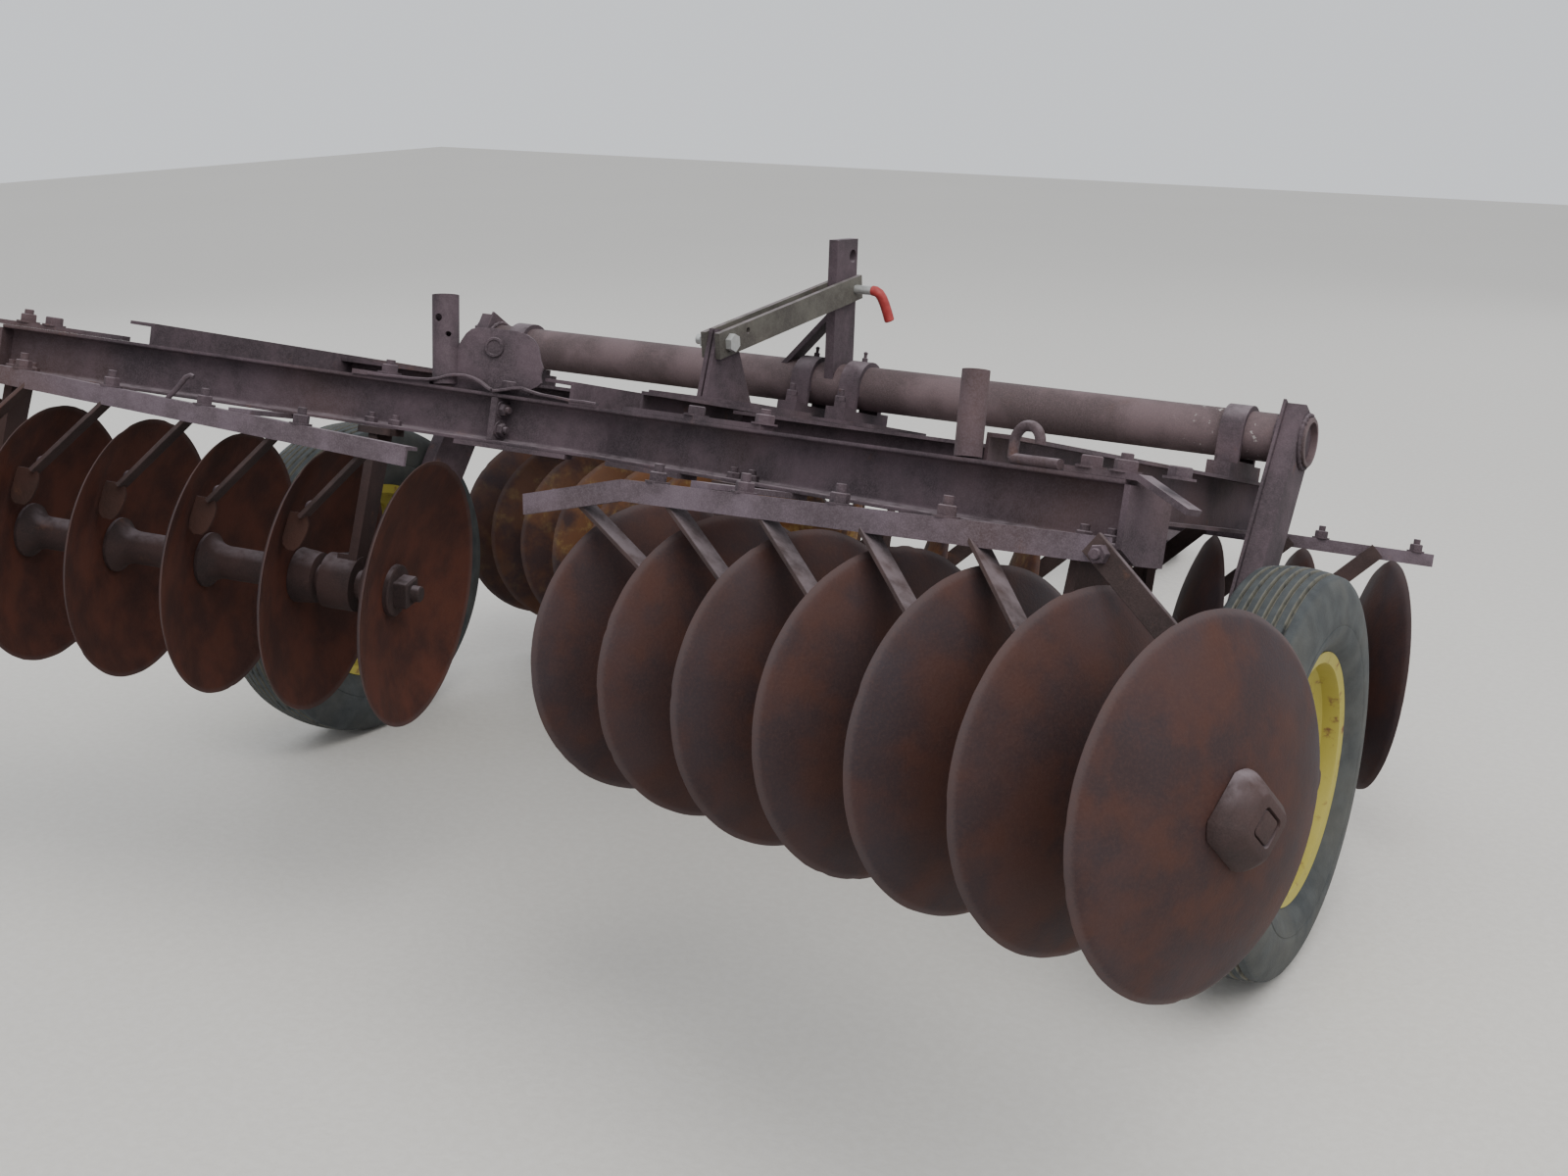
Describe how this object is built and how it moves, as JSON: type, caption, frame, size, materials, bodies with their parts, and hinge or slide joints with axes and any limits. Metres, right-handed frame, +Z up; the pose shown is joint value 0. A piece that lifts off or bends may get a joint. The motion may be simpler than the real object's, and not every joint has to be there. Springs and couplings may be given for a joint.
{
  "type": "wheeled tandem disc harrow",
  "caption": "Towed tandem disc harrow: bladed gangs under a channel frame, on a rock shaft with transport wheels, a rigid depth lock and a drawbar.",
  "frame": {"origin": "bottom centre of the bounding box, on the ground, as the harrow stands on its two tyres and its lowered hitch", "axes": "+X to the machine's right, +Y ahead in the direction of travel, +Z up"},
  "size_m": [2.6854, 3.6223, 1.1356],
  "materials": {
    "rusty_paint": "matt, rusted through",
    "blade_steel": "rusty with a worn blue-grey edge",
    "cast_spools": "rough, rusty",
    "olive_paint": "matt, faded",
    "zinc": "dull zinc",
    "tyre": "weathered",
    "rim_paint": "faded, rust stained"
  },
  "bodies": {
    "frame": {"beam_rear_right": "rusty_paint", "beam_rear_left": "rusty_paint", "beam_front_right": "rusty_paint", "beam_front_left": "rusty_paint", "side_rail_right": "rusty_paint", "side_rail_left": "rusty_paint", "centre_rails": "rusty_paint", "cross_members": "rusty_paint", "centre_plate": "rusty_paint", "tongue_right": "rusty_paint", "tongue_left": "rusty_paint", "tongue_brace": "rusty_paint", "hitch": "rusty_paint", "rock_shaft": "rusty_paint", "bearing_caps": "rusty_paint", "wheel_arm_right": "rusty_paint", "wheel_arm_left": "rusty_paint", "lift_arm": "rusty_paint", "lock_bracket": "olive_paint", "lock_bars": "olive_paint", "lock_bolt": "zinc", "lock_pin": "zinc", "hangers_rear": "cast_spools", "hangers_front": "cast_spools", "scraper_bars_rear": "rusty_paint", "scraper_bars_front": "rusty_paint", "scrapers_rear": "blade_steel", "scrapers_front": "blade_steel", "posts": "rusty_paint", "rod_hook": "rusty_paint", "hose_plate": "rusty_paint", "top_straps": "rusty_paint", "lower_straps": "rusty_paint", "beam_end_plates": "rusty_paint"},
    "gang_rear_right": {"discs_rear_right": "blade_steel", "axle_rear_right": "cast_spools"},
    "gang_rear_left": {"discs_rear_left": "blade_steel", "axle_rear_left": "cast_spools"},
    "gang_front_right": {"discs_front_right": "blade_steel", "axle_front_right": "cast_spools"},
    "gang_front_left": {"discs_front_left": "blade_steel", "axle_front_left": "cast_spools"},
    "wheel_right": {"tyre_right": "tyre", "rim_right": "rim_paint", "hub_right": "cast_spools"},
    "wheel_left": {"tyre_left": "tyre", "rim_left": "rim_paint", "hub_left": "cast_spools"}
  },
  "joints": [
    {"name": "wheel_right_spin", "type": "hinge", "parent": "frame", "child": "wheel_right", "pos_m": [1.048, -0.6143, 0.35], "axis": [1, 0, 0], "continuous": true},
    {"name": "wheel_left_spin", "type": "hinge", "parent": "frame", "child": "wheel_left", "pos_m": [-1.048, -0.6143, 0.35], "axis": [1, 0, 0], "continuous": true},
    {"name": "gang_rear_right_spin", "type": "hinge", "parent": "frame", "child": "gang_rear_right", "pos_m": [0.247, -1.26298, 0.61749], "axis": [0.9461, -0.3127, 0.0845], "continuous": true},
    {"name": "gang_rear_left_spin", "type": "hinge", "parent": "frame", "child": "gang_rear_left", "pos_m": [-0.247, -1.26298, 0.61749], "axis": [0.9461, 0.3127, -0.0845], "continuous": true},
    {"name": "gang_front_right_spin", "type": "hinge", "parent": "frame", "child": "gang_front_right", "pos_m": [0.11, -0.40349, 0.44013], "axis": [0.891, 0.4383, -0.1184], "continuous": true},
    {"name": "gang_front_left_spin", "type": "hinge", "parent": "frame", "child": "gang_front_left", "pos_m": [-0.11, -0.40349, 0.44013], "axis": [0.891, -0.4383, 0.1184], "continuous": true}
  ]
}
